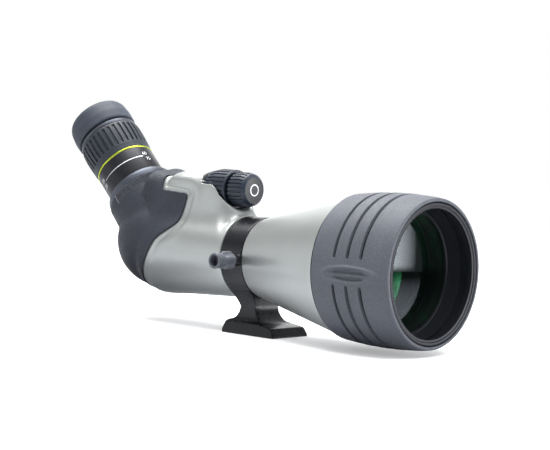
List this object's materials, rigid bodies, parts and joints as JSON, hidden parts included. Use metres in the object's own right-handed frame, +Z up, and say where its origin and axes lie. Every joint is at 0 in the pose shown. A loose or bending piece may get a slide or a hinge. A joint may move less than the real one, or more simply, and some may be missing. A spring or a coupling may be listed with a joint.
{
  "type": "spotting scope",
  "caption": "Angled zoom spotting scope with a conical barrel, rubber armour, pull-out sunshade, dual focus knobs, twist-up eyecup and a rotating tripod foot collar.",
  "frame": {"origin": "centre of the tripod thread's mouth, on the foot's underside", "axes": "+X along the optical axis towards the objective, +Z up, +Y to the left seen from behind"},
  "size_m": [0.3589, 0.1058, 0.1686],
  "materials": {
    "black_paint": "semi-matte black paint on aluminium",
    "grey_paint": "satin metallic grey paint",
    "armour_rubber": "finely stippled slate-grey rubber",
    "knob_rubber": "smooth dark grip rubber",
    "seal_rubber": "smooth",
    "black_anodised": "black anodised",
    "grey_anodised": "grey anodised satin",
    "lime_anodised": "lime-yellow anodised, polished",
    "aluminium": "machined",
    "brass": "machined",
    "steel": "machined",
    "black_plastic": "moulded, fine texture",
    "nylon": "natural nylon",
    "felt": "black felt",
    "glass": "polished optical glass",
    "coated_glass": "green multi-coated optical glass"
  },
  "bodies": {
    "foot": {"tripod_foot_collar": "black_paint", "collar_liner": "nylon", "tripod_thread_insert": "steel"},
    "lock_shoe": {"lock_shoe": "nylon"},
    "lock_knob": {"lock_knob": "knob_rubber", "lock_screw": "steel"},
    "scope": {"main_barrel": "grey_paint", "objective_cell": "black_anodised", "objective_seal": "seal_rubber", "rear_objective_lens": "glass", "objective_spacer": "black_anodised", "middle_objective_lens": "glass", "front_objective_lens": "coated_glass", "objective_retaining_ring": "black_anodised", "objective_armour": "armour_rubber", "front_baffle": "black_anodised", "rear_baffle": "black_anodised", "prism_housing": "grey_paint", "rear_armour": "armour_rubber", "roof_prism": "glass", "prism_bracket": "aluminium", "prism_springs": "steel", "focus_guide_rods": "steel", "focus_bushing": "brass", "eyepiece_mount_ring": "grey_anodised", "eyepiece_body": "black_anodised", "field_stop": "black_anodised", "eye_lens_shoulder_ring": "black_anodised", "eye_lens": "coated_glass", "eye_lens_retainer": "black_anodised", "eyecup_base_ring": "grey_anodised", "eyecup_snap_ring": "steel"},
    "sunshade": {"sunshade_tube": "black_anodised", "sunshade_friction_ring": "felt"},
    "coarse_focus": {"coarse_focus_ring": "knob_rubber", "coarse_drum": "black_plastic", "ball_cage": "brass", "drive_balls": "steel", "focus_lead_screw": "steel"},
    "fine_focus": {"fine_focus_knob": "knob_rubber", "fine_focus_shaft": "steel", "knob_screw": "steel", "knob_cap": "black_plastic"},
    "focus_carriage": {"focus_carriage": "black_anodised", "focus_lens": "glass", "focus_lens_ring": "black_anodised"},
    "zoom_ring": {"zoom_grip": "armour_rubber", "zoom_cam_sleeve": "brass", "zoom_scale_ring": "black_anodised", "accent_ring": "lime_anodised"},
    "field_group": {"field_group_cell": "black_anodised", "field_group_lens": "glass", "field_group_pins": "steel"},
    "variator_group": {"variator_cell": "black_anodised", "variator_lens": "glass", "variator_pins": "steel"},
    "eyecup_key": {"eyecup_key_ring": "black_plastic"},
    "eyecup": {"eyecup_sleeve": "black_plastic", "eyecup_rubber": "armour_rubber"}
  },
  "joints": [
    {"name": "scope_turn", "type": "hinge", "parent": "foot", "child": "scope", "pos_m": [-0.0085, 0, 0.055], "axis": [1, 0, 0], "range_deg": [-140, 140]},
    {"name": "lock_travel", "type": "slide", "parent": "foot", "child": "lock_shoe", "axis": [0, -1, 0], "range_m": [0, 0.0006]},
    {"name": "lock_turn", "type": "hinge", "parent": "lock_shoe", "child": "lock_knob", "pos_m": [-0.0015, -0.04, 0.0538], "axis": [0, -1, 0], "range_deg": [0, 270.5]},
    {"name": "sunshade_slide", "type": "slide", "parent": "scope", "child": "sunshade", "axis": [1, 0, 0], "range_m": [0, 0.03]},
    {"name": "coarse_focus_turn", "type": "hinge", "parent": "scope", "child": "coarse_focus", "pos_m": [-0.0235, 0, 0.1033], "axis": [1, 0, 0], "range_deg": [-270, 450]},
    {"name": "fine_focus_turn", "type": "hinge", "parent": "scope", "child": "fine_focus", "pos_m": [-0.0235, 0, 0.1033], "axis": [1, 0, 0], "range_deg": [-1000, 1660]},
    {"name": "focus_travel", "type": "slide", "parent": "scope", "child": "focus_carriage", "axis": [1, 0, 0], "range_m": [-0.0031, 0.0051]},
    {"name": "zoom_turn", "type": "hinge", "parent": "scope", "child": "zoom_ring", "pos_m": [-0.0953, 0, 0.055], "axis": [-0.7071, 0, 0.7071], "range_deg": [-60, 80]},
    {"name": "field_group_travel", "type": "slide", "parent": "scope", "child": "field_group", "axis": [-0.7071, 0, 0.7071], "range_m": [-0.00481, 0.00361]},
    {"name": "variator_travel", "type": "slide", "parent": "scope", "child": "variator_group", "axis": [-0.7071, 0, 0.7071], "range_m": [-0.00301, 0.00401]},
    {"name": "eyecup_twist", "type": "hinge", "parent": "scope", "child": "eyecup_key", "pos_m": [-0.0953, 0, 0.055], "axis": [-0.7071, 0, 0.7071], "range_deg": [0, 110]},
    {"name": "eyecup_rise", "type": "slide", "parent": "eyecup_key", "child": "eyecup", "axis": [-0.7071, 0, 0.7071], "range_m": [0, 0.01001]}
  ],
  "couplings": [
    {"joint": "lock_turn", "follows": "lock_travel", "rad_per_m": 7854},
    {"joint": "fine_focus_turn", "follows": "coarse_focus_turn", "ratio": 3.6667},
    {"joint": "focus_travel", "follows": "coarse_focus_turn", "m_per_rad": 0.00063662},
    {"joint": "field_group_travel", "follows": "zoom_turn", "m_per_rad": -0.0034377},
    {"joint": "variator_travel", "follows": "zoom_turn", "m_per_rad": 0.0028648},
    {"joint": "eyecup_rise", "follows": "eyecup_twist", "m_per_rad": 0.0052087}
  ]
}
